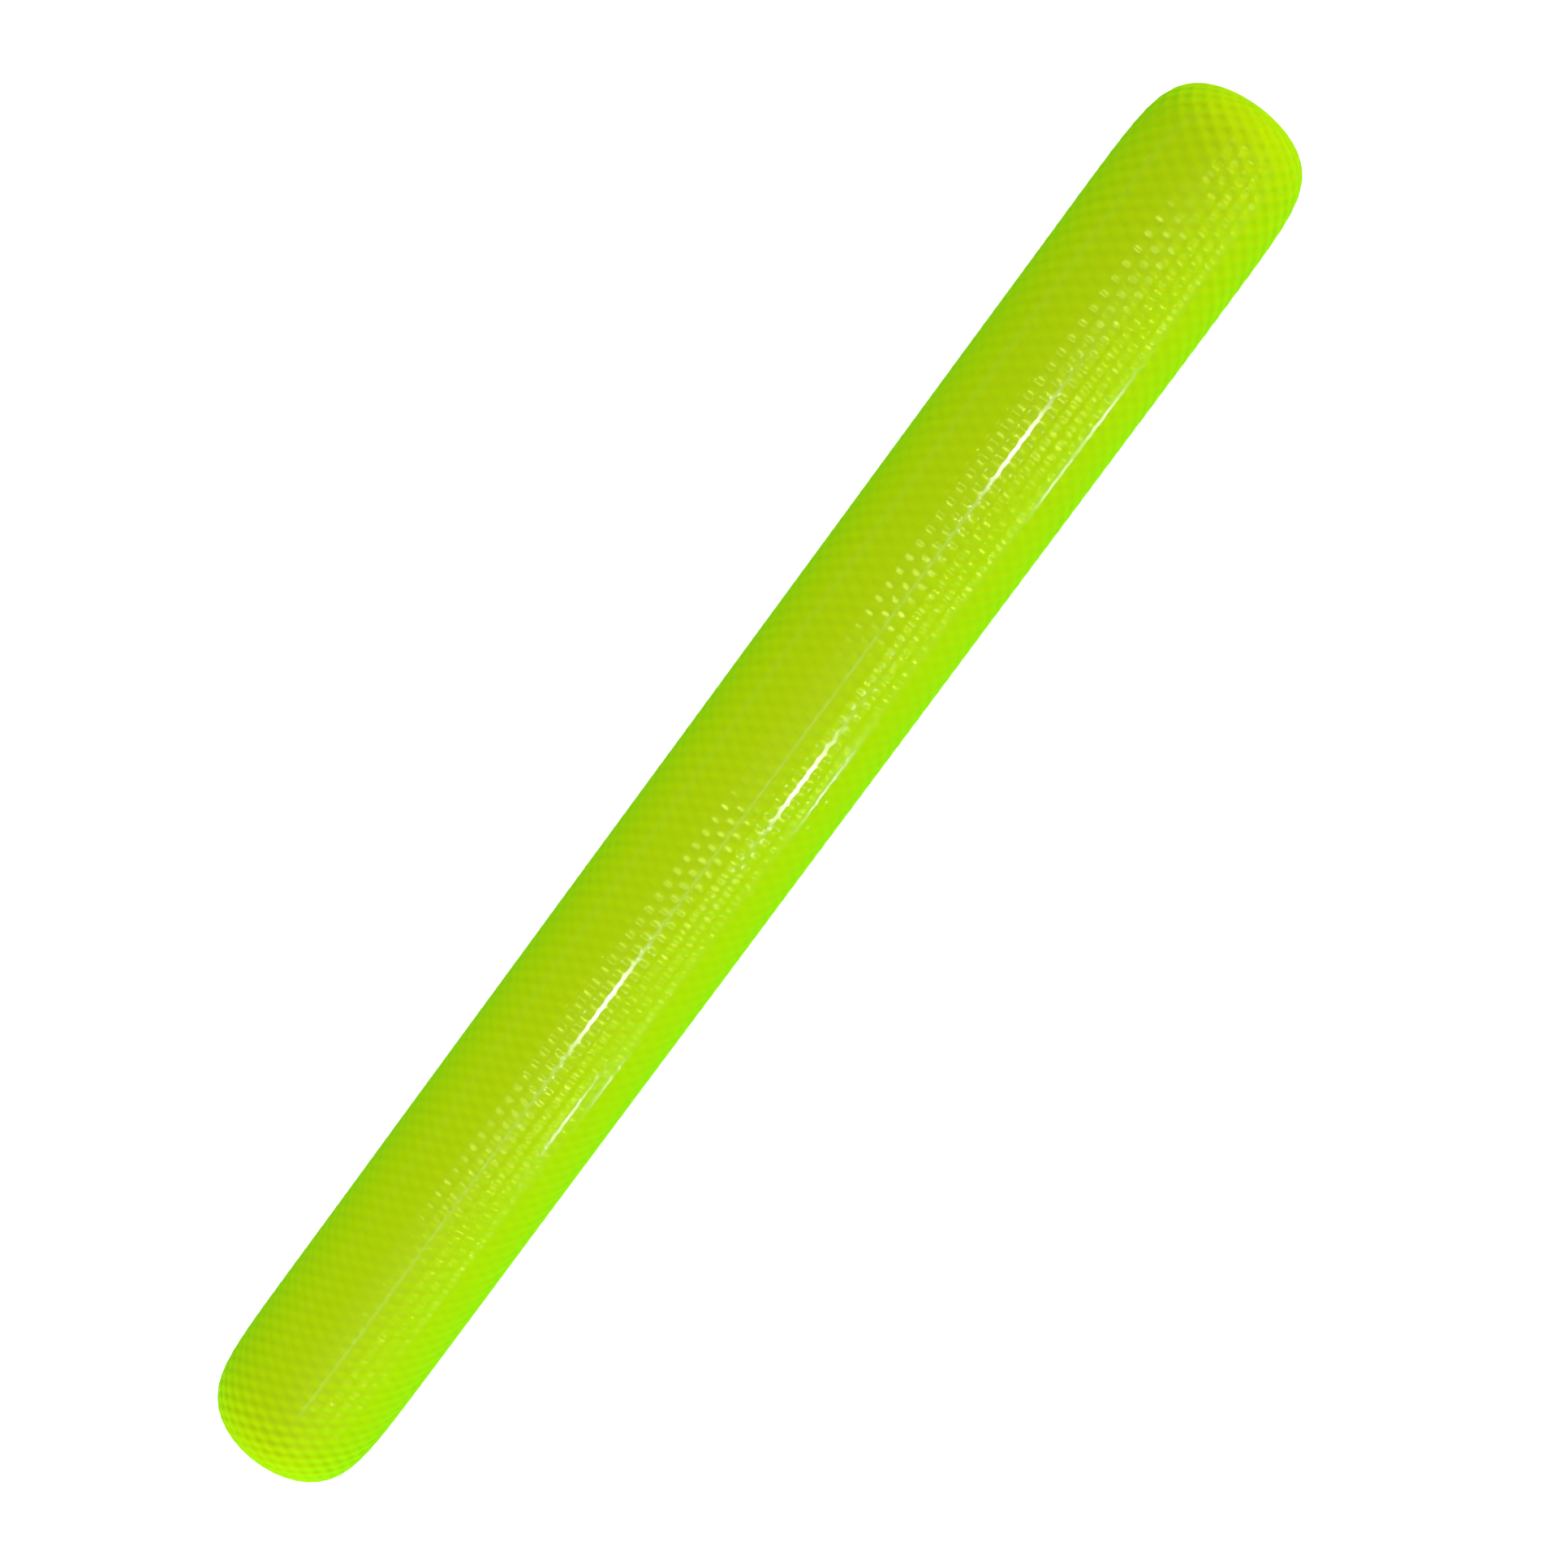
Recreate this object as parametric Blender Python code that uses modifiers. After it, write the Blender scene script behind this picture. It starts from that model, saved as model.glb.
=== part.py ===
"""Oversized soft-foam pool noodle with domed ends: a foam core inside a vinyl skin.

The noodle lies along X with Z up. The origin is on the surface that it lies on, under its middle.
The skin is a straight sleeve and two end caps, whose lips tuck into rebates in the sleeve's mouths.
"""

import math

import bpy

# Driving dimensions, in metres
NOODLE_LENGTH = 1.181
NOODLE_DIAMETER = 0.126
DOME_LENGTH = 0.118
SKIN_WALL = 0.002
LAP_LENGTH = 0.014
SEAT_GAP = 0.0003
REST_FLAT_DEPTH = 0.0005
CUT_OVERRUN = 0.01

# Shares: how blunt the domes are, and how much of the wall stands over a lap
DOME_FULLNESS_SHARE = 6.8
OUTER_LEAF_SHARE = 0.6

# Facets
STEPS_ROUND = 56
DOME_STEPS = 15
MERGE_WITHIN = 0.00001
SHARP_ANGLE = math.radians(30)

# Sizes that follow from the driving dimensions
OUTER_RADIUS = NOODLE_DIAMETER / 2
HALF_LENGTH = NOODLE_LENGTH / 2
AXIS_HEIGHT = OUTER_RADIUS - REST_FLAT_DEPTH
BORE_RADIUS = OUTER_RADIUS - SKIN_WALL
REBATE_RADIUS = OUTER_RADIUS - SKIN_WALL * OUTER_LEAF_SHARE
LIP_RADIUS = REBATE_RADIUS - SEAT_GAP
CORE_DEPTH = SKIN_WALL + SEAT_GAP
CAP_SEAM = HALF_LENGTH - DOME_LENGTH
SLEEVE_END = CAP_SEAM - SEAT_GAP
LIP_END = CAP_SEAM - LAP_LENGTH
REBATE_END = LIP_END - SEAT_GAP

# Finishes: colours as linear red, green and blue
VINYL_LIME = (0.40, 0.62, 0.006)
VINYL_ROUGHNESS = 0.3
FOAM_PALE_LIME = (0.62, 0.74, 0.22)
FOAM_ROUGHNESS = 0.9


def clear_scene():
    for obj in list(bpy.data.objects):
        bpy.data.objects.remove(obj)


def new_collection(name):
    collection = bpy.data.collections.new(name)
    bpy.context.scene.collection.children.link(collection)
    return collection


def material(name, colour, roughness):
    made = bpy.data.materials.new(name)
    made.use_nodes = True
    shader = made.node_tree.nodes["Principled BSDF"]
    shader.inputs["Base Color"].default_value = (*colour, 1)
    shader.inputs["Roughness"].default_value = roughness
    shader.inputs["Metallic"].default_value = 0
    return made


def dome_point(share, depth):
    """Radius and height along the axis of a point that lies depth under the dome's surface.

    share runs from 0 at the tip to 1 where the dome meets the straight tube. The surface is
    radius**2 = OUTER_RADIUS**2 * (1 - exp(-fullness * share)) / (1 - exp(-fullness)): a blunt,
    round tip whose shoulder eases into the tube, as soft foam ground round does.
    """
    left = math.exp(-DOME_FULLNESS_SHARE * share)
    whole = 1 - math.exp(-DOME_FULLNESS_SHARE)
    radius = OUTER_RADIUS * math.sqrt((1 - left) / whole)
    along = OUTER_RADIUS**2 * DOME_FULLNESS_SHARE * left / (whole * DOME_LENGTH)
    across = 2 * radius
    length = math.hypot(along, across)
    height = HALF_LENGTH - DOME_LENGTH * share - depth * along / length
    return max(radius - depth * across / length, 0), height


def dome_profile(depth):
    """Points from the tip to the end of the dome, closer together near the tip."""
    return [dome_point((step / DOME_STEPS) ** 2, depth) for step in range(DOME_STEPS + 1)]


def turned(name, profile, closed, finish, collection, parent, points_to_plus_x=True):
    """A solid turned about the noodle's axis from (radius, height) points, outer side first."""
    mesh = bpy.data.meshes.new(name)
    count = len(profile)
    edges = [(i, i + 1) for i in range(count - 1)]
    if closed:
        edges.append((count - 1, 0))
    mesh.from_pydata([(radius, 0, height) for radius, height in profile], edges, [])
    mesh.materials.append(finish)
    obj = bpy.data.objects.new(name, mesh)
    collection.objects.link(obj)
    obj.parent = parent
    obj.rotation_euler.y = math.radians(90 if points_to_plus_x else -90)

    screw = obj.modifiers.new("Turn", "SCREW")
    screw.axis = "Z"
    screw.angle = math.radians(360)
    screw.steps = STEPS_ROUND
    screw.render_steps = STEPS_ROUND
    screw.use_merge_vertices = True
    screw.merge_threshold = MERGE_WITHIN
    return obj


def rest_cutter(collection):
    """A block under the surface that the noodle lies on."""
    bpy.ops.mesh.primitive_cube_add(size=1)
    block = bpy.context.object
    block.name = "rest_cutter"
    block.scale = (NOODLE_LENGTH + 2 * CUT_OVERRUN, NOODLE_DIAMETER, CUT_OVERRUN)
    block.location.z = -CUT_OVERRUN / 2
    block.hide_render = True
    block.display_type = "WIRE"
    for holder in list(block.users_collection):
        holder.objects.unlink(block)
    collection.objects.link(block)
    return block


def flatten_underside(obj, cutter):
    """The narrow strip on which the soft noodle rests."""
    cut = obj.modifiers.new("Rest flat", "BOOLEAN")
    cut.operation = "DIFFERENCE"
    cut.solver = "EXACT"
    cut.object = cutter


def settle(obj):
    """Applies the modifiers, and shades the mesh smooth but for its sharp edges."""
    graph = bpy.context.evaluated_depsgraph_get()
    mesh = bpy.data.meshes.new_from_object(obj.evaluated_get(graph))
    mesh.shade_smooth()
    mesh.set_sharp_from_angle(angle=SHARP_ANGLE)
    obj.modifiers.clear()
    obj.data = mesh


def foam_core(collection, parent):
    """One bar of closed-cell foam, domed at both ends, which fills the skin."""
    upper = dome_profile(CORE_DEPTH)
    lower = [(radius, -height) for radius, height in reversed(upper)]
    foam = material("closed_cell_foam", FOAM_PALE_LIME, FOAM_ROUGHNESS)
    return turned("foam_core", upper + lower, False, foam, collection, parent)


def skin_sleeve(finish, collection, parent):
    """The straight vinyl tube, with a rebate inside each mouth for an end cap's lip."""
    upper = [
        (BORE_RADIUS, REBATE_END),
        (REBATE_RADIUS, REBATE_END),
        (REBATE_RADIUS, SLEEVE_END),
        (OUTER_RADIUS, SLEEVE_END),
    ]
    lower = [(radius, -height) for radius, height in reversed(upper)]
    return turned("skin_sleeve", upper + lower, True, finish, collection, parent)


def skin_end_cap(name, points_to_plus_x, finish, collection, parent):
    """A domed vinyl cap, with a thinner lip that tucks into the sleeve."""
    outside = dome_profile(0)
    inside = dome_profile(SKIN_WALL)[:-1]
    lip = [
        (LIP_RADIUS, CAP_SEAM),
        (LIP_RADIUS, LIP_END),
        (BORE_RADIUS, LIP_END),
        (BORE_RADIUS, CAP_SEAM),
    ]
    profile = outside + lip + inside[::-1]
    return turned(name, profile, False, finish, collection, parent, points_to_plus_x)


def main():
    clear_scene()
    parts = new_collection("pool_noodle")
    cutters = new_collection("cutters")
    cutters.hide_render = True

    axis = bpy.data.objects.new("noodle_axis", None)
    axis.location.z = AXIS_HEIGHT
    parts.objects.link(axis)

    vinyl = material("lime_vinyl", VINYL_LIME, VINYL_ROUGHNESS)
    core = foam_core(parts, axis)
    skin = [
        skin_sleeve(vinyl, parts, axis),
        skin_end_cap("skin_end_cap_right", True, vinyl, parts, axis),
        skin_end_cap("skin_end_cap_left", False, vinyl, parts, axis),
    ]
    cutter = rest_cutter(cutters)
    for piece in skin:
        flatten_underside(piece, cutter)
    for piece in [core, *skin]:
        settle(piece)


main()
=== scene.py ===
"""Looks of the pool noodle: an embossed, glossy lime vinyl skin on a bar of closed-cell foam.

The noodle lies along X on a white floor. Angles round it run from the top towards -Y, which is the
lower right side in the picture, and its right-hand end, at +X, is at the picture's upper right.
"""

import math

import bpy
import numpy as np
from mathutils import Matrix, Vector


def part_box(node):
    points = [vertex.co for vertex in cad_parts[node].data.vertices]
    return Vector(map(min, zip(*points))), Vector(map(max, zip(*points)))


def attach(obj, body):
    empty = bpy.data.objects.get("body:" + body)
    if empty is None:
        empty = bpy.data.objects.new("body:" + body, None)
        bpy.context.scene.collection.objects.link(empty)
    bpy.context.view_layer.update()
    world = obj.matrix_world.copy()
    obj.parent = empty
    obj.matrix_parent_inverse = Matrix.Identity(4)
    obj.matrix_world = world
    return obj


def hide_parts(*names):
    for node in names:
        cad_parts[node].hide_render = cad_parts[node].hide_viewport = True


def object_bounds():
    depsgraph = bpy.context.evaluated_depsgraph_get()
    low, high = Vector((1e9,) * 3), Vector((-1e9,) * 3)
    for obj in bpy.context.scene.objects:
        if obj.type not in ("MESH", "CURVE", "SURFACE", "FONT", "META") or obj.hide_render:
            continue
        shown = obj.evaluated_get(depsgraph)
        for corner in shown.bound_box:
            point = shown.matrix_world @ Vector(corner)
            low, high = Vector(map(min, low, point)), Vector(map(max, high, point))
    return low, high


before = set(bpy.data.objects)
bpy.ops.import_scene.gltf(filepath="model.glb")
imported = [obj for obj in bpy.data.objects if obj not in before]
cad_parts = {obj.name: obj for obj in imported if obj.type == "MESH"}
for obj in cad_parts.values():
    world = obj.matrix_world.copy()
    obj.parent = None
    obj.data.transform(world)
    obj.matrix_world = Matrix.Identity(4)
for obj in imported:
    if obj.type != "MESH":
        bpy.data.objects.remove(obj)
CAD_LOW, CAD_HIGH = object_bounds()

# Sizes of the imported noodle, in metres
SLEEVE_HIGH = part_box("skin_sleeve")[1]
CORE_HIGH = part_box("foam_core")[1]
RADIUS = (CAD_HIGH.y - CAD_LOW.y) / 2
AXIS_HEIGHT = CAD_HIGH.z - RADIUS
HALF_LENGTH = CAD_HIGH.x
SEAM = SLEEVE_HIGH.x
DOME_LENGTH = HALF_LENGTH - SEAM
DOME_FULLNESS_SHARE = 6.8
CORE_RADIUS = CORE_HIGH.y
CORE_HALF_LENGTH = CORE_HIGH.x
SEAT_GAP = 0.0003
SKIN_WALL = RADIUS - CORE_RADIUS - SEAT_GAP

# The emboss: rows of low round bumps along the noodle, each row half a pitch on from the last, with
# flat lanes between the rows. Across, a row is half a turn of phase wide, with the middle of a lane at
# each end. A bump's sides rise from LANE_EDGE to PLATEAU_EDGE, which are phases from there.
ROWS = 42
FIRST_ROW = math.radians(0.7)
PITCH = 0.0111
PITCH_GROWTH_SHARE = 0.11
EMBOSS_DEPTH = 0.0003
COAT_DEPTH_SHARE = 0.6
CREST_SHARE = 0.15
LANE_EDGE = math.radians(22)
PLATEAU_EDGE = math.radians(40)
END_DEPTH_SHARE = 1.8
END_DEPTH_FROM_SHARE = 0.6
FADE_FROM_SHARE = 0.7
FADE_TO_SHARE = 0.1
PITCH_WANDER_SHARE = 0.02
DEPTH_WANDER_SHARE = 0.2
WANDER_CELLS_ALONG = 64
WANDER_CELLS_ROUND = 16
UNEVEN_DEPTH = 0.0003
UNEVEN_CELLS_ALONG = 12
UNEVEN_CELLS_ROUND = 5
PITCH_SEED = 1
DEPTH_SEED = 3
UNEVEN_SEED = 4
SMALLEST_RADIUS = 0.001

# Facets. ROW_STEPS are the phases across a row at which its facets start, and TIP_FAN_SHARE is the part
# of a piece's UV map that the faces at each of its tips take.
SIDE_MIDDLE = (LANE_EDGE + PLATEAU_EDGE) / 2
ROW_RISE = (LANE_EDGE, SIDE_MIDDLE, PLATEAU_EDGE)
ROW_STEPS = (0, *ROW_RISE, math.pi / 2, *(math.pi - edge for edge in reversed(ROW_RISE)))
STEPS_ROUND = ROWS * len(ROW_STEPS)
SLEEVE_STEPS = 694
DOME_STEPS = 120
INNER_DOME_STEPS = 24
CORE_STEPS_ROUND = 96
PROFILE_SAMPLES = 4000
TIP_FAN_SHARE = 0.02

# Camera
CAMERA_DISTANCE = 2.2
CAMERA_LEAN = math.radians(8.22)
CAMERA_ROLL = math.radians(53.49)
LENS_MM = 72.26
SENSOR_MM = 36
SHIFT_X_SHARE = 0.0274
SHIFT_Y_SHARE = 0.0144

# Vinyl: linear colours, depths in metres, and scales in cells to the metre
# Painted shade and painted highlight: the emboss's valleys are coloured darker and its bump tops paler,
# standing in for how light falls on them
VINYL_VALLEY_PAINTED_SHADE = (0.425, 0.62, 0.0009)
VINYL_TOP_PAINTED_HIGHLIGHT = (0.468, 0.657, 0.0014)
VINYL_DEEP = (0.43, 0.635, 0.0008)
BLOTCH_SCALE = 14
BLOTCH_DETAIL = 3
BLOTCH_NOISE_RANGE = (0.35, 0.65)
BLOTCH_SHARE = 0.5
GRAIN_SCALE = 900
GRAIN_DETAIL = 2
GRAIN_DEPTH = 0.00006
GRAIN_STRENGTH = 0.25
EMBOSS_SHADE_DEPTH = 0.0003
VINYL_ROUGHNESS_RANGE = (0.34, 0.46)
COAT_SHARE = 0.5
COAT_FADE_FACING_RANGE = (0.08, 0.28)
COAT_ROUGHNESS = 0.095
SHEEN_SHARE = 0.5
SHEEN_ROUGHNESS = 0.5
SHEEN_TINT = (0.1, 1, 0.035)

# Foam
FOAM_PALE = (0.62, 0.74, 0.22)
FOAM_DEEP = (0.48, 0.62, 0.12)
FOAM_DEEP_SHARE = 0.7
FOAM_CELL_SCALE = 900
FOAM_CELL_DEPTH = 0.0002
FOAM_CELL_STRENGTH = 0.5
FOAM_ROUGHNESS = 0.9

# Sockets of Blender's Mix node that hold colours
MIX_COLOUR_INPUTS = (6, 7)
MIX_COLOUR_OUTPUT = 2

# Lamps that light the skin: place, length and width, brightness, colour
WHITE = (1, 1, 1)
SOFT_BOXES = (
    ("top_softbox", (-0.3, 0, 2.4), (3.0, 2.0), 1.7, WHITE),
    ("bounce_from_right", (-0.35, -1.2, 0.1), (3.0, 0.6), 2.28, (0.27, 1, 1)),
    ("bounce_from_left", (0, 1.2, 0.2), (3.0, 0.6), 0.45, (0.3, 1, 0.05)),
    ("bounce_past_left_end", (-2.3, -0.1, 0.15), (0.8, 0.5), 18, (0.9, 1, 0.05)),
    ("bounce_past_right_end", (2.2, -0.45, 0.2), (0.8, 0.5), 18, (1, 0.85, 0)),
)

# Lamps that only show in the gloss: where they show along the noodle, in metres, and round it, in
# degrees, then length, width and brightness
GLINT_DISTANCE = 1.8
GLINTS = (
    ("long_tube", -0.12, 5.0, 1.75, 0.03, 9),
    ("left_lamp", -0.159, 5.0, 0.09, 0.13, 75),
    ("left_lower_lamp_a", -0.24, 31, 0.06, 0.04, 200),
    ("left_lower_lamp_b", -0.205, 39.6, 0.04, 0.03, 600),
    ("middle_lamp", 0.048, 22.1, 0.08, 0.22, 75),
    ("middle_lower_lamp", 0.053, 39.3, 0.08, 0.03, 420),
    ("right_lamp", 0.3135, 5.0, 0.09, 0.13, 75),
    ("right_lower_lamp_a", 0.31, 39.3, 0.06, 0.03, 400),
    ("right_lower_lamp_b", 0.365, 39.3, 0.06, 0.03, 600),
)

# Small dim lamps, which show as one bright dot on each bump near them: rows of the emboss, places
# along the noodle, brightness
PANELS = (
    ((-1, 0, 1), (-0.159, 0.3135), 130),
    ((0, 1), (-0.4, 0.53), 40),
    ((2, 3), (-0.35, -0.159, 0.048, 0.25, 0.44), 110),
    ((2, 3), (-0.55, 0.63), 60),
    ((4,), (-0.48, -0.26, -0.06, 0.15, 0.34, 0.54), 190),
    ((0, 1, 2, 3, 4), (0.82, 1.1, 1.5), 90),
    ((1, 2, 3), (-0.82, -1.2), 60),
)
PANEL_DISTANCE = 4.0
PANEL_LENGTH = 0.02
PANEL_SPAN = math.radians(4.5)
PANEL_COLOUR = (1, 1, 0.25)

# Stage and light
FLOOR_SIZE = 60
# Painted green bounce: for light that falls on things the floor is coloured green, as if lit by the
# noodle's own green glow; the camera sees it white
FLOOR_PAINTED_GREEN_BOUNCE = (0.65, 0.85, 0.2)
FLOOR_GLOW = 0.75
FLOOR_SEEN_COLOUR = (0.6, 0.6, 0.6)
WORLD_LIGHT = 0.5
WALLS_LIGHT = 1
CEILING_LIGHT = 0.03
WALLS_TO_SHARE = 0.25
CEILING_FROM_SHARE = 0.4


def angles_round():
    """Angles round the noodle, ROW_STEPS of phase on from the start of each row of bumps."""
    phases = np.arange(ROWS)[:, None] + np.array(ROW_STEPS) / math.pi - 0.5
    return FIRST_ROW + phases.ravel() * math.tau / ROWS


def shell_dome(steps, radius, length):
    """Distances from the tip and radii of rings spaced evenly along a dome, and their places along it."""
    along = length * np.linspace(0, 1, PROFILE_SAMPLES) ** 2
    left = np.exp(-DOME_FULLNESS_SHARE * along / length)
    radii = radius * np.sqrt((1 - left) / (1 - math.exp(-DOME_FULLNESS_SHARE)))
    arc = np.concatenate([[0], np.cumsum(np.hypot(np.diff(along), np.diff(radii)))])
    places = np.linspace(0, arc[-1], steps + 1)
    return np.interp(places, arc, along), np.interp(places, arc, radii), places


def smooth_noise(along, angle, cells_along, cells_round, seed):
    """Smooth noise from -1 to 1 that closes on itself round the noodle; along runs from 0 to 1."""
    values = np.random.default_rng(seed).uniform(-1, 1, (cells_along + 2, cells_round))
    u = along * cells_along
    v = angle % math.tau / math.tau * cells_round
    row, column = np.floor(u).astype(int), np.floor(v).astype(int)
    u, v = u - row, v - column
    u, v = u * u * (3 - 2 * u), v * v * (3 - 2 * v)
    beside = (column + 1) % cells_round
    near = values[row, column] * (1 - v) + values[row, beside] * v
    far = values[row + 1, column] * (1 - v) + values[row + 1, beside] * v
    return near * (1 - u) + far * u


def wander(share, angle, seed):
    """Noise from -1 to 1, by which the emboss strays from an even pitch and depth."""
    return smooth_noise(share, angle, WANDER_CELLS_ALONG, WANDER_CELLS_ROUND, seed)


def unevenness(share, angle):
    """Slow unevenness of the skin, from 0 to 1."""
    return (1 + smooth_noise(share, angle, UNEVEN_CELLS_ALONG, UNEVEN_CELLS_ROUND, UNEVEN_SEED)) / 2


def skin_rings():
    """Places along the axis, distances over the surface from the middle, and radii of its rings."""
    from_tip, dome_radii, dome_arc = shell_dome(DOME_STEPS, RADIUS, DOME_LENGTH)
    straight = np.linspace(-SEAM, SEAM, SLEEVE_STEPS + 1)[1:-1]
    to_tip = SEAM + dome_arc[-1] - dome_arc
    x = np.concatenate([from_tip - HALF_LENGTH, straight, (HALF_LENGTH - from_tip)[::-1]])
    along = np.concatenate([-to_tip, straight, to_tip[::-1]])
    radius = np.concatenate([dome_radii, np.full(len(straight), RADIUS), dome_radii[::-1]])
    return x, along, radius


def bump_shape(turn, across):
    """Height of the bumps by their phases along a row and across it, and its slope by each phase.

    A lane is flat, and a bump rises from it over a short steep side to the height of its row.
    """
    way = np.sign(np.cos(across))
    from_lane = math.pi / 2 - np.abs(np.arcsin(np.sin(across)))
    rise = np.clip((from_lane - LANE_EDGE) / (PLATEAU_EDGE - LANE_EDGE), 0, 1)
    level = rise * rise * (3 - 2 * rise)
    steep = 6 * rise * (1 - rise) / (PLATEAU_EDGE - LANE_EDGE) * -np.sign(np.sin(across) * way)
    height = way * level * np.cos(turn) - CREST_SHARE * level**2 * np.cos(2 * turn)
    by_turn = -way * level * np.sin(turn) + 2 * CREST_SHARE * level**2 * np.sin(2 * turn)
    by_across = steep * (way * np.cos(turn) - 2 * CREST_SHARE * level * np.cos(2 * turn))
    return height, by_turn, by_across


def surface_normals(angle, lean, down_along, down_round):
    """Normals of a turned surface, which leans like this and sinks at these slopes along and round."""
    upright = np.sqrt(1 - lean**2)
    axis_way = np.array([1.0, 0, 0])
    out_way = np.stack([np.zeros_like(angle), -np.sin(angle), np.cos(angle)], axis=-1)
    round_way = np.stack([np.zeros_like(angle), -np.cos(angle), -np.sin(angle)], axis=-1)
    along_way = axis_way * upright[..., None] + out_way * lean[..., None]
    normals = out_way * upright[..., None] - axis_way * lean[..., None]
    normals += down_along[..., None] * along_way + down_round[..., None] * round_way
    return normals / np.linalg.norm(normals, axis=-1, keepdims=True)


def skin_surface():
    """Points, normals and lattice of the whole outer surface, ring by ring from left to right.

    The normals follow a shallower emboss, as a clear coat that half fills its valleys does. The
    lattice holds the emboss's two phases and its strength, with one more column to close the ring.
    """
    x, along, radius = skin_rings()
    lean = np.clip(np.gradient(radius, along), -1, 1)[:, None]
    share, angle = np.meshgrid((along / along[-1] + 1) / 2, angles_round(), indexing="ij")

    growth = PITCH_GROWTH_SHARE / along[-1]
    pitches = (np.log1p(growth * along) / (growth * PITCH))[:, None]
    turn = math.tau * (pitches + PITCH_WANDER_SHARE * wander(share, angle, PITCH_SEED))
    across = ROWS / 2 * (angle - FIRST_ROW)
    bumps, by_turn, by_across = bump_shape(turn, across)

    fade = np.clip((radius / RADIUS - FADE_TO_SHARE) / (FADE_FROM_SHARE - FADE_TO_SHARE), 0, 1)
    fade = (fade * fade * (3 - 2 * fade))[:, None]
    to_end = np.clip((np.abs(2 * share - 1) - END_DEPTH_FROM_SHARE) / (1 - END_DEPTH_FROM_SHARE), 0, 1)
    deeper = 1 + (END_DEPTH_SHARE - 1) * to_end
    strength = fade * deeper * (1 + DEPTH_WANDER_SHARE * wander(share, angle, DEPTH_SEED))
    uneven = UNEVEN_DEPTH * fade * unevenness(share, angle)

    depth = EMBOSS_DEPTH * strength * (1 - CREST_SHARE - bumps) / 2 + uneven
    out = radius[:, None] - depth * np.sqrt(1 - lean**2)
    height = np.maximum(AXIS_HEIGHT + out * np.cos(angle), 0)
    points = np.stack([x[:, None] + depth * lean, -out * np.sin(angle), height], axis=-1)

    coat = COAT_DEPTH_SHARE * EMBOSS_DEPTH * strength / 2
    down_along = -coat * by_turn * math.tau / (PITCH * (1 + growth * along[:, None]))
    down_along += np.gradient(uneven, along, axis=0)
    step = math.tau / STEPS_ROUND
    down_round = -coat * by_across * ROWS / 2
    down_round += (UNEVEN_DEPTH * fade * unevenness(share, angle + step) - uneven) / step
    down_round /= np.maximum(radius[:, None], SMALLEST_RADIUS)
    normals = surface_normals(angle, lean, down_along, down_round)

    lattice = np.stack([turn, across, strength], axis=-1)
    lattice = np.concatenate([lattice, lattice[:, :1] + (0, ROWS * math.pi, 0)], axis=1)
    return points, normals, lattice


def plain_rings(places, radii, angle):
    """Rings of points about the noodle's axis."""
    x, _ = np.broadcast_arrays(np.asarray(places)[:, None], angle)
    out = np.broadcast_to(np.asarray(radii)[:, None], x.shape)
    return np.stack([x, -out * np.sin(angle), AXIS_HEIGHT + out * np.cos(angle)], axis=-1)


def corner_places(ring_count, steps, has_tips):
    """Where each face corner lies in the UV map: u runs along the noodle, and v round it."""
    u = np.arange(ring_count) / ring_count
    v = np.arange(steps) / steps
    after = v + 1 / steps
    quad_u = np.stack([u[:-1], u[:-1], u[1:], u[1:]], axis=-1)[:, None].repeat(steps, axis=1)
    quad_v = np.stack([v, after, after, v], axis=-1)[None].repeat(ring_count - 1, axis=0)
    corners = np.stack([quad_u, quad_v], axis=-1).reshape(-1, 2)
    if not has_tips:
        return corners

    body_share = 1 - 2 * TIP_FAN_SHARE
    corners = corners * (body_share, 1) + (TIP_FAN_SHARE, 0)
    low, high = np.zeros(steps), np.ones(steps)
    low_edge = np.full(steps, TIP_FAN_SHARE)
    high_edge = np.full(steps, u[-1] * body_share + TIP_FAN_SHARE)
    middle = (v + after) / 2
    first_fan = np.stack([low, middle, low_edge, after, low_edge, v], axis=-1)
    last_fan = np.stack([high, middle, high_edge, v, high_edge, after], axis=-1)
    return np.concatenate([corners, first_fan.reshape(-1, 2), last_fan.reshape(-1, 2)])


def hold_lattice(mesh, lattice):
    """Keeps the lattice's values on the corners of the mesh, for its material to read."""
    near, far = lattice[:-1], lattice[1:]
    held = np.stack([near[:, :-1], near[:, 1:], far[:, 1:], far[:, :-1]], axis=2).reshape(-1, 3)
    values = np.zeros((len(mesh.loops), 3), np.float32)
    values[: len(held)] = held
    attribute = mesh.attributes.new("lattice", "FLOAT_VECTOR", "CORNER")
    attribute.data.foreach_set("vector", values.ravel())


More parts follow.
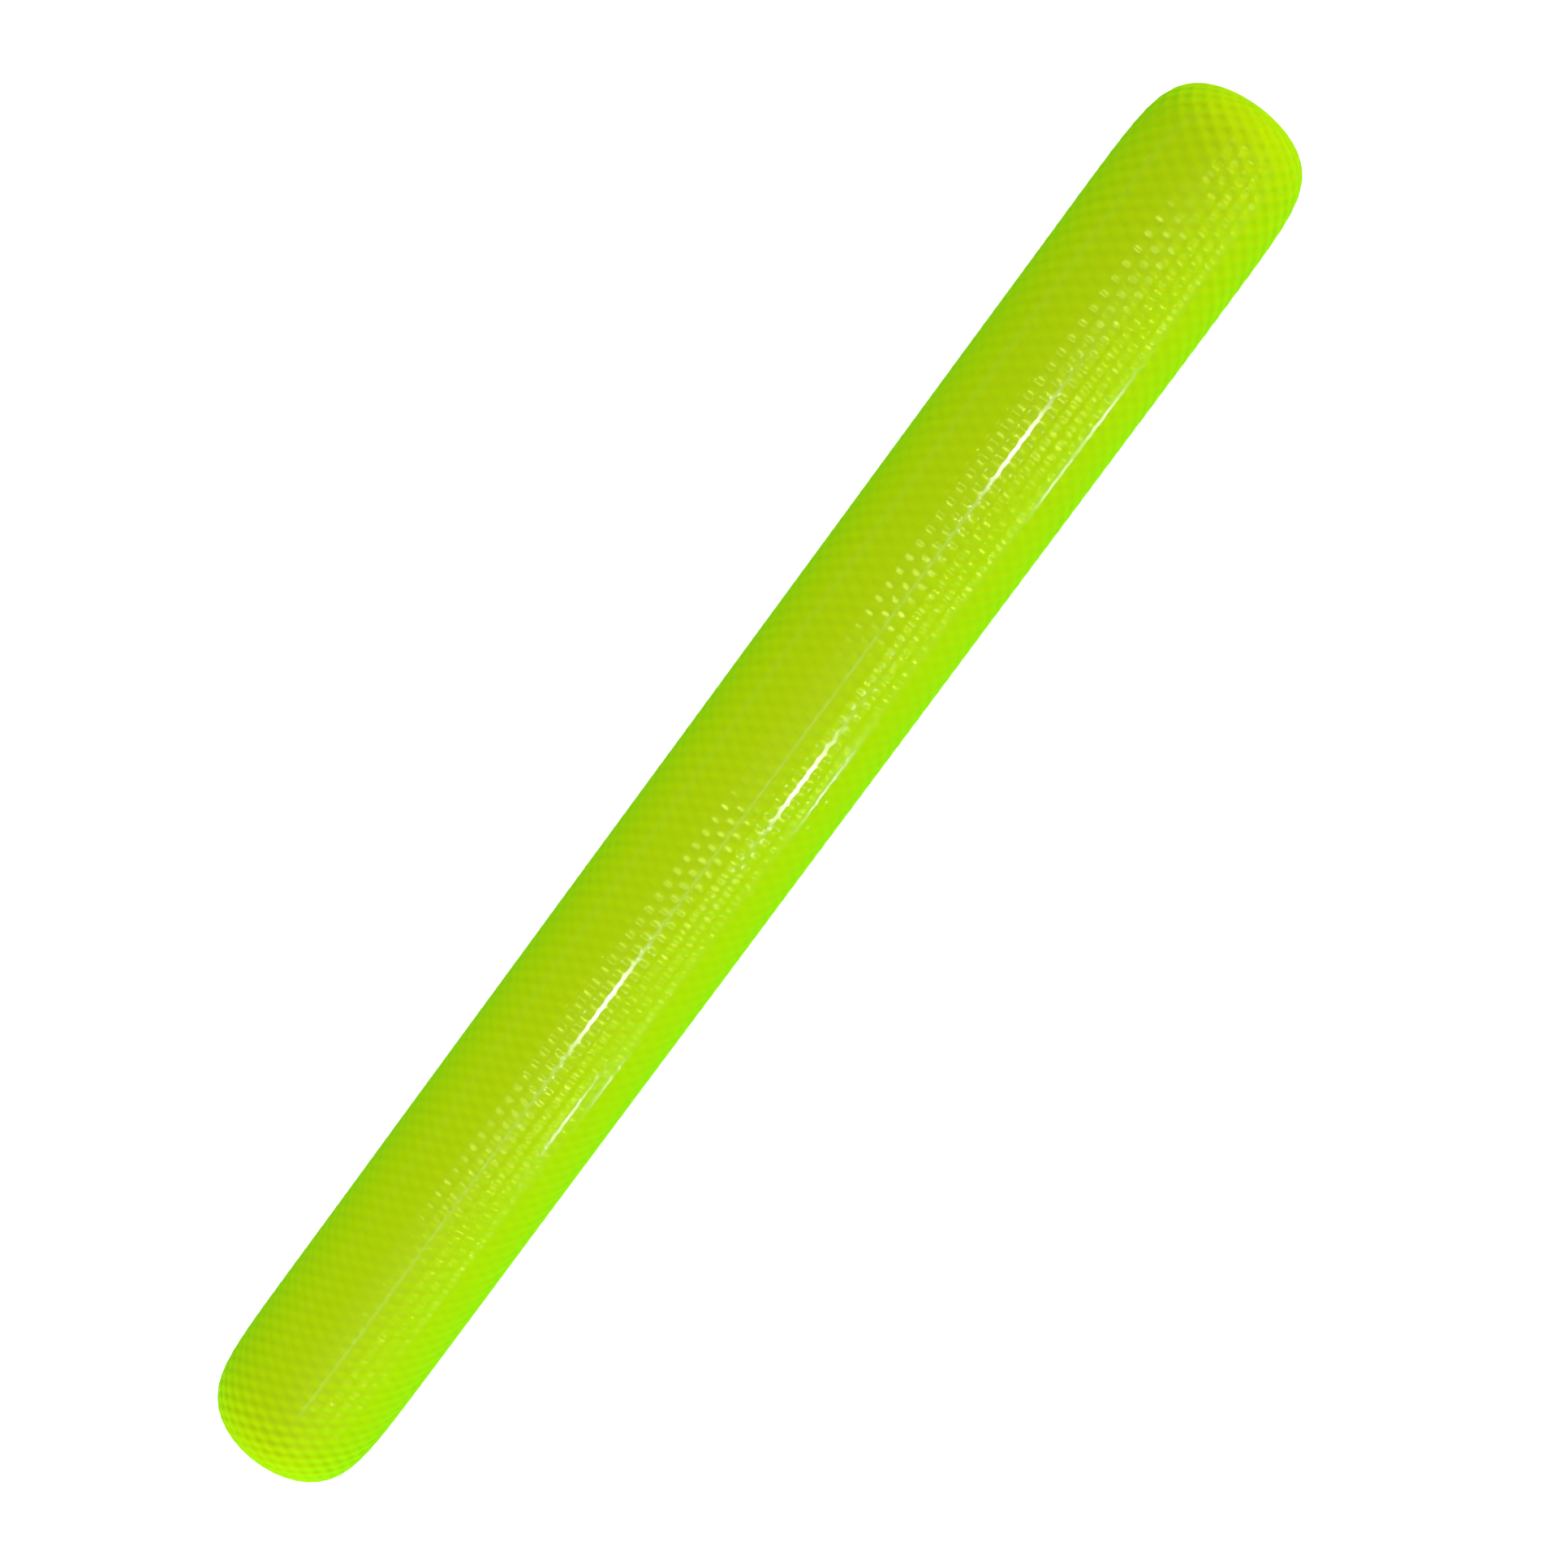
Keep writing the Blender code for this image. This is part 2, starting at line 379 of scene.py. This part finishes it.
def turned(name, rings, tips=None, normals=None, lattice=None):
    """A closed piece of rings of points, closed at its two tips, or else on itself."""
    count, steps = rings.shape[:2]
    index = np.arange(count * steps).reshape(count, steps)
    if tips is None:
        index = np.concatenate([index, index[:1]])
    beside = np.roll(index, -1, axis=1)
    faces = np.stack([index[:-1], beside[:-1], beside[1:], index[1:]], axis=-1)
    faces = faces.reshape(-1, 4).tolist()
    points = rings.reshape(-1, 3)
    if tips is not None:
        first = np.full(steps, len(points))
        faces += np.stack([first, beside[0], index[0]], axis=-1).tolist()
        faces += np.stack([first + 1, index[-1], beside[-1]], axis=-1).tolist()
        points = np.concatenate([points, tips])

    mesh = bpy.data.meshes.new(name)
    mesh.from_pydata(points.tolist(), [], faces)
    mesh.shade_smooth()
    corners = corner_places(len(index), steps, tips is not None)
    mesh.uv_layers.new(name="OFBake").data.foreach_set("uv", corners.astype(np.float32).ravel())
    if lattice is not None:
        hold_lattice(mesh, np.concatenate([lattice, lattice[:1]]) if tips is None else lattice)
    if normals is not None:
        kept = np.zeros((len(points), 3))
        kept[: len(normals) * steps] = normals.reshape(-1, 3)
        mesh.normals_split_custom_set_from_vertices(kept.tolist())
    obj = bpy.data.objects.new(name, mesh)
    bpy.context.scene.collection.objects.link(obj)
    return obj


def skin_pieces():
    """The sleeve and the left and right end caps, all cut from the one embossed surface."""
    points, normals, lattice = skin_surface()
    wall_radius = RADIUS - SKIN_WALL
    dome_depth = DOME_LENGTH - SKIN_WALL
    from_tip, radii, _ = shell_dome(INNER_DOME_STEPS, wall_radius, dome_depth)
    places = SEAM + dome_depth - from_tip[1:]

    def lined(name, outer, inner, tips, inner_first=False):
        """A piece of the surface with its smooth inner side, whose normals are left to the mesh."""
        surfaces = [
            (inner, points[outer]),
            (np.zeros_like(inner), normals[outer]),
            (np.zeros((len(inner), STEPS_ROUND + 1, 3)), lattice[outer]),
        ]
        joined = [np.concatenate(pair if inner_first else pair[::-1]) for pair in surfaces]
        return turned(name, joined[0], tips, *joined[1:])

    return (
        lined(
            "embossed_sleeve",
            slice(DOME_STEPS, DOME_STEPS + SLEEVE_STEPS + 1),
            plain_rings([SEAM, -SEAM], [wall_radius, wall_radius], angles_round()),
            None,
        ),
        lined(
            "embossed_end_left",
            slice(1, DOME_STEPS + 1),
            plain_rings(-places[::-1], radii[:0:-1], angles_round()),
            [points[0, 0], (-SEAM - dome_depth, 0, AXIS_HEIGHT)],
        ),
        lined(
            "embossed_end_right",
            slice(DOME_STEPS + SLEEVE_STEPS, -1),
            plain_rings(places, radii[1:], angles_round()),
            [(SEAM + dome_depth, 0, AXIS_HEIGHT), points[-1, 0]],
            inner_first=True,
        ),
    )


def foam_bar():
    """The foam inside the skin."""
    from_tip, radii, _ = shell_dome(INNER_DOME_STEPS, CORE_RADIUS, CORE_HALF_LENGTH - SEAM)
    places = CORE_HALF_LENGTH - from_tip[1:]
    rings = plain_rings(
        np.concatenate([-places, places[::-1]]),
        np.concatenate([radii[1:], radii[:0:-1]]),
        np.arange(CORE_STEPS_ROUND) * math.tau / CORE_STEPS_ROUND,
    )
    tips = [(-CORE_HALF_LENGTH, 0, AXIS_HEIGHT), (CORE_HALF_LENGTH, 0, AXIS_HEIGHT)]
    return turned("foam_bar", rings, tips)


def new_material(name):
    """An empty node material, its nodes and its links."""
    made = bpy.data.materials.new(name)
    made.use_nodes = True
    made.node_tree.nodes.clear()
    return made, made.node_tree.nodes, made.node_tree.links


def noise(nodes, links, scale, detail):
    """Noise that is fixed to the piece, with this many cells to the metre."""
    place = nodes.new("ShaderNodeTexCoord")
    texture = nodes.new("ShaderNodeTexNoise")
    texture.inputs["Scale"].default_value = scale
    texture.inputs["Detail"].default_value = detail
    links.new(place.outputs["Object"], texture.inputs["Vector"])
    return texture.outputs["Fac"]


def mapped(nodes, links, value, low, high, from_low=0.0, from_high=1.0):
    """value, moved from the range from_low to from_high into the range low to high."""
    node = nodes.new("ShaderNodeMapRange")
    node.inputs["From Min"].default_value = from_low
    node.inputs["From Max"].default_value = from_high
    node.inputs["To Min"].default_value = low
    node.inputs["To Max"].default_value = high
    links.new(value, node.inputs["Value"])
    return node.outputs["Result"]


def mixed(nodes, links, factor, low, high):
    """A colour from low to high by factor; low and high are colours or sockets."""
    node = nodes.new("ShaderNodeMix")
    node.data_type = "RGBA"
    links.new(factor, node.inputs["Factor"])
    for index, colour in zip(MIX_COLOUR_INPUTS, (low, high)):
        if isinstance(colour, tuple):
            node.inputs[index].default_value = (*colour, 1)
        else:
            links.new(colour, node.inputs[index])
    return node.outputs[MIX_COLOUR_OUTPUT]


def emboss_height(nodes, links):
    """The height of the emboss, about -1 in a valley and 1 on a bump, and more near the ends."""
    lattice = nodes.new("ShaderNodeAttribute")
    lattice.attribute_name = "lattice"
    parts = nodes.new("ShaderNodeSeparateXYZ")
    links.new(lattice.outputs["Vector"], parts.inputs["Vector"])
    height = parts.outputs["Z"]
    for phase in ("X", "Y"):
        wave = nodes.new("ShaderNodeMath")
        wave.operation = "COSINE"
        links.new(parts.outputs[phase], wave.inputs[0])
        product = nodes.new("ShaderNodeMath")
        product.operation = "MULTIPLY"
        links.new(height, product.inputs[0])
        links.new(wave.outputs["Value"], product.inputs[1])
        height = product.outputs["Value"]
    return height


def vinyl():
    """Fluorescent embossed vinyl under a clear coat, with painted shade in its valleys, painted
    highlights on its bumps, and a faint mottle.
    """
    made, nodes, links = new_material("lime_vinyl_skin")
    shader = nodes.new("ShaderNodeBsdfPrincipled")
    output = nodes.new("ShaderNodeOutputMaterial")
    links.new(shader.outputs["BSDF"], output.inputs["Surface"])

    height = emboss_height(nodes, links)
    # Painted shade in the valleys and painted highlight on the bumps, by the emboss's height
    emboss_painted_shading = mixed(nodes, links, mapped(nodes, links, height, 0, 1, -1, 1), VINYL_VALLEY_PAINTED_SHADE, VINYL_TOP_PAINTED_HIGHLIGHT)
    blotches = noise(nodes, links, BLOTCH_SCALE, BLOTCH_DETAIL)
    blotches = mapped(nodes, links, blotches, 0, BLOTCH_SHARE, *BLOTCH_NOISE_RANGE)
    links.new(mixed(nodes, links, blotches, emboss_painted_shading, VINYL_DEEP), shader.inputs["Base Color"])

    fine = noise(nodes, links, GRAIN_SCALE, GRAIN_DETAIL)
    links.new(mapped(nodes, links, fine, *VINYL_ROUGHNESS_RANGE), shader.inputs["Roughness"])
    grain = nodes.new("ShaderNodeBump")
    grain.inputs["Strength"].default_value = GRAIN_STRENGTH
    grain.inputs["Distance"].default_value = GRAIN_DEPTH
    links.new(fine, grain.inputs["Height"])
    emboss = nodes.new("ShaderNodeBump")
    emboss.inputs["Distance"].default_value = EMBOSS_SHADE_DEPTH
    links.new(height, emboss.inputs["Height"])
    links.new(grain.outputs["Normal"], emboss.inputs["Normal"])
    links.new(emboss.outputs["Normal"], shader.inputs["Normal"])

    facing = nodes.new("ShaderNodeLayerWeight")
    gloss = mapped(nodes, links, facing.outputs["Facing"], COAT_SHARE, 0, *COAT_FADE_FACING_RANGE)
    links.new(gloss, shader.inputs["Coat Weight"])
    shader.inputs["Specular IOR Level"].default_value = 0
    shader.inputs["Coat Roughness"].default_value = COAT_ROUGHNESS
    shader.inputs["Sheen Weight"].default_value = SHEEN_SHARE
    shader.inputs["Sheen Roughness"].default_value = SHEEN_ROUGHNESS
    shader.inputs["Sheen Tint"].default_value = (*SHEEN_TINT, 1)
    return made


def foam():
    """Matt closed-cell foam."""
    made, nodes, links = new_material("closed_cell_foam_bar")
    shader = nodes.new("ShaderNodeBsdfPrincipled")
    output = nodes.new("ShaderNodeOutputMaterial")
    links.new(shader.outputs["BSDF"], output.inputs["Surface"])
    place = nodes.new("ShaderNodeTexCoord")
    cells = nodes.new("ShaderNodeTexVoronoi")
    cells.inputs["Scale"].default_value = FOAM_CELL_SCALE
    links.new(place.outputs["Object"], cells.inputs["Vector"])
    wall = mapped(nodes, links, cells.outputs["Distance"], 0, 1, 0, FOAM_DEEP_SHARE)
    links.new(mixed(nodes, links, wall, FOAM_PALE, FOAM_DEEP), shader.inputs["Base Color"])
    bump = nodes.new("ShaderNodeBump")
    bump.invert = True
    bump.inputs["Strength"].default_value = FOAM_CELL_STRENGTH
    bump.inputs["Distance"].default_value = FOAM_CELL_DEPTH
    links.new(cells.outputs["Distance"], bump.inputs["Height"])
    links.new(bump.outputs["Normal"], shader.inputs["Normal"])
    shader.inputs["Roughness"].default_value = FOAM_ROUGHNESS
    return made


def camera_place():
    """The camera leans from straight above the noodle's middle towards its right-hand end."""
    away = Vector((math.sin(CAMERA_LEAN), 0, math.cos(CAMERA_LEAN)))
    return Vector((0, 0, AXIS_HEIGHT)) + CAMERA_DISTANCE * away, away


def add_camera():
    """The camera, rolled so that the noodle runs from the picture's lower left to its upper right."""
    place, away = camera_place()
    along = Vector((math.cos(CAMERA_LEAN), 0, -math.sin(CAMERA_LEAN)))
    across = Vector((0, 1, 0))
    right = math.cos(CAMERA_ROLL) * along - math.sin(CAMERA_ROLL) * across
    up = math.sin(CAMERA_ROLL) * along + math.cos(CAMERA_ROLL) * across
    camera = bpy.data.objects.new("camera", bpy.data.cameras.new("camera"))
    camera.data.lens = LENS_MM
    camera.data.sensor_width = SENSOR_MM
    camera.data.shift_x = SHIFT_X_SHARE
    camera.data.shift_y = SHIFT_Y_SHARE
    turn = Matrix((right, up, away)).transposed().to_4x4()
    camera.matrix_world = Matrix.Translation(place) @ turn
    bpy.context.scene.collection.objects.link(camera)
    bpy.context.scene.camera = camera


def add_lamp(name, place, target, length, width, brightness, colour=WHITE):
    """A soft box whose long side lies along the noodle; brightness 1 looks as bright as white paper."""
    lamp = bpy.data.lights.new(name, "AREA")
    lamp.shape = "RECTANGLE"
    lamp.size = length
    lamp.size_y = width
    lamp.energy = brightness * math.pi * length * width
    lamp.color = colour
    away = (place - target).normalized()
    along = Vector((1, 0, 0))
    along = (along - along.dot(away) * away).normalized()
    turn = Matrix((along, away.cross(along), away)).transposed().to_4x4()
    obj = bpy.data.objects.new(name, lamp)
    obj.matrix_world = Matrix.Translation(place) @ turn
    obj.visible_camera = False
    bpy.context.scene.collection.objects.link(obj)
    return obj


def add_glint(name, along, degrees, length, width, brightness, colour=WHITE, distance=GLINT_DISTANCE):
    """A lamp that shows only in the gloss, placed so that the camera sees it mirrored there."""
    angle = math.radians(degrees)
    normal = Vector((0, -math.sin(angle), math.cos(angle)))
    point = Vector((along, 0, AXIS_HEIGHT)) + RADIUS * normal
    seen = (camera_place()[0] - point).normalized()
    mirrored = 2 * normal.dot(seen) * normal - seen
    place = point + distance * mirrored
    lamp = add_lamp(name, place, point, length, width, brightness, colour)
    lamp.visible_diffuse = False


def add_lights():
    """The soft boxes, the glints and the dim panels."""
    middle = Vector((0, 0, AXIS_HEIGHT))
    for name, place, size, brightness, colour in SOFT_BOXES:
        box = add_lamp(name, Vector(place), middle, *size, brightness, colour)
        box.visible_glossy = False
    for glint in GLINTS:
        add_glint(*glint)
    size = (PANEL_LENGTH, 2 * PANEL_DISTANCE * PANEL_SPAN)
    for rows, places, brightness in PANELS:
        for row in rows:
            degrees = math.degrees(FIRST_ROW + row * math.tau / ROWS)
            for along in places:
                lamp = (f"dim_panel_{row}", along, degrees, *size, brightness, PANEL_COLOUR)
                add_glint(*lamp, PANEL_DISTANCE)


def seen_factor(nodes, links):
    """1 for what is seen, itself or in gloss or glass, and 0 for light that falls on things."""
    path = nodes.new("ShaderNodeLightPath")
    factor = path.outputs["Is Camera Ray"]
    for ray in ("Is Glossy Ray", "Is Transmission Ray"):
        either = nodes.new("ShaderNodeMath")
        either.operation = "MAXIMUM"
        links.new(factor, either.inputs[0])
        links.new(path.outputs[ray], either.inputs[1])
        factor = either.outputs["Value"]
    return factor


def add_world():
    """White walls under a dim ceiling, and an even light from all round."""
    world = bpy.data.worlds.new("studio")
    world.use_nodes = True
    nodes, links = world.node_tree.nodes, world.node_tree.links
    nodes.clear()
    direction = nodes.new("ShaderNodeTexCoord")
    parts = nodes.new("ShaderNodeSeparateXYZ")
    links.new(direction.outputs["Generated"], parts.inputs["Vector"])
    shown = nodes.new("ShaderNodeBackground")
    shown.inputs["Color"].default_value = (*WHITE, 1)
    lit = (WALLS_LIGHT, CEILING_LIGHT, WALLS_TO_SHARE, CEILING_FROM_SHARE)
    links.new(mapped(nodes, links, parts.outputs["Z"], *lit), shown.inputs["Strength"])
    light = nodes.new("ShaderNodeBackground")
    light.inputs["Strength"].default_value = WORLD_LIGHT
    light.inputs["Color"].default_value = (*WHITE, 1)
    mix = nodes.new("ShaderNodeMixShader")
    output = nodes.new("ShaderNodeOutputWorld")
    links.new(seen_factor(nodes, links), mix.inputs["Fac"])
    links.new(light.outputs["Background"], mix.inputs[1])
    links.new(shown.outputs["Background"], mix.inputs[2])
    links.new(mix.outputs["Shader"], output.inputs["Surface"])
    bpy.context.scene.world = world


def add_floor():
    """A white floor that shows the noodle's soft shadow."""
    made, nodes, links = new_material("white_floor")
    # Painted green bounce: the floor's colour for light that falls on the noodle
    plain = nodes.new("ShaderNodeBsdfDiffuse")
    plain.inputs["Color"].default_value = (*FLOOR_PAINTED_GREEN_BOUNCE, 1)
    shaded = nodes.new("ShaderNodeBsdfDiffuse")
    shaded.inputs["Color"].default_value = (*FLOOR_SEEN_COLOUR, 1)
    glow = nodes.new("ShaderNodeEmission")
    glow.inputs["Strength"].default_value = FLOOR_GLOW
    shown = nodes.new("ShaderNodeAddShader")
    links.new(shaded.outputs["BSDF"], shown.inputs[0])
    links.new(glow.outputs["Emission"], shown.inputs[1])
    mix = nodes.new("ShaderNodeMixShader")
    output = nodes.new("ShaderNodeOutputMaterial")
    links.new(seen_factor(nodes, links), mix.inputs["Fac"])
    links.new(plain.outputs["BSDF"], mix.inputs[1])
    links.new(shown.outputs["Shader"], mix.inputs[2])
    links.new(mix.outputs["Shader"], output.inputs["Surface"])
    bpy.ops.mesh.primitive_plane_add(size=FLOOR_SIZE)
    floor = bpy.context.object
    floor.name = "floor"
    floor.data.materials.append(made)


def dress():
    """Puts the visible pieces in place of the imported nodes."""
    finish = vinyl()
    stands_for = ("skin_sleeve", "skin_end_cap_left", "skin_end_cap_right")
    for piece, node in zip(skin_pieces(), stands_for):
        piece.data.materials.append(finish)
        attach(piece, "root")
        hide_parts(node)
    core = foam_bar()
    core.data.materials.append(foam())
    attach(core, "root")
    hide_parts("foam_core")


dress()
add_camera()
add_lights()
add_world()
add_floor()
bpy.context.scene.view_settings.view_transform = "Standard"
